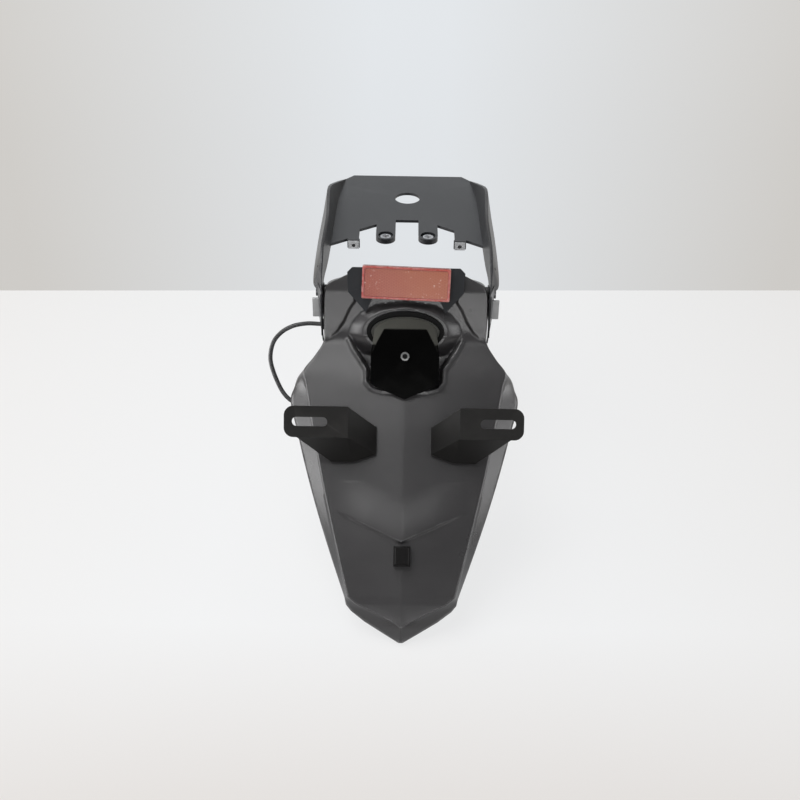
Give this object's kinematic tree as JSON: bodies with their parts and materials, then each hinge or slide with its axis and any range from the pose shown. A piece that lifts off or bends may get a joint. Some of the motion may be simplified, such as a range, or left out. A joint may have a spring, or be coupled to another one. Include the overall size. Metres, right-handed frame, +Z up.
{
  "type": "motorcycle tail tidy",
  "caption": "Compact rear fender that bolts under a motorcycle's tail, with a number plate panel, slotted plate stays, a plate lamp and a reflector.",
  "frame": {"origin": "midway between the two tail bolt holes, on top of their collars, where the tray meets the underside of the tail", "axes": "+Z up out of the tray, along the tail bolts; +Y towards the front of the machine; +X to the right as seen from behind"},
  "size_m": [0.2552, 0.4737, 0.3015],
  "materials": {
    "tray_plastic": "moulded satin black, finely grained",
    "shell_plastic": "moulded satin black, finely grained",
    "zinc_steel": "bright zinc plate",
    "dark_steel": "dark plated screws",
    "bracket_black": "satin black coat",
    "reflector_back": "dark red moulding",
    "reflector_orange": "faded orange-red prisms under a clear face",
    "black_rubber": "smooth black rubber",
    "lamp_olive": "dark olive moulding",
    "lamp_black": "plain black moulding",
    "clear_window": "clear window",
    "board_green": "green coat",
    "stay_steel": "satin black coat over folded sheet",
    "lead_sheath": "soft black sheath"
  },
  "bodies": {
    "root": {"upper_tray": "tray_plastic", "tail_collar_left": "zinc_steel", "tail_collar_right": "zinc_steel", "clip_nut_left": "zinc_steel", "clip_nut_right": "zinc_steel", "rear_shell": "shell_plastic", "side_clip_left": "zinc_steel", "side_clip_right": "zinc_steel", "side_bolts_left": "dark_steel", "side_bolts_right": "dark_steel", "side_nuts_left": "zinc_steel", "side_nuts_right": "zinc_steel", "reflector_bracket": "bracket_black", "reflector_base": "reflector_back", "reflector_lens": "reflector_orange", "reflector_nuts": "zinc_steel", "lamp_gasket": "black_rubber", "lamp_base": "lamp_olive", "lamp_hood": "lamp_black", "lamp_lens": "clear_window", "lamp_board": "board_green", "lamp_screw": "zinc_steel", "plate_stay_left": "stay_steel", "plate_stay_right": "stay_steel", "stay_screws_left": "dark_steel", "stay_screws_right": "dark_steel", "stay_nuts_left": "zinc_steel", "stay_nuts_right": "zinc_steel", "plate_rest": "black_rubber", "lead_grommet": "black_rubber", "lead": "lead_sheath", "lead_connector": "lamp_black"}
  },
  "joints": []
}
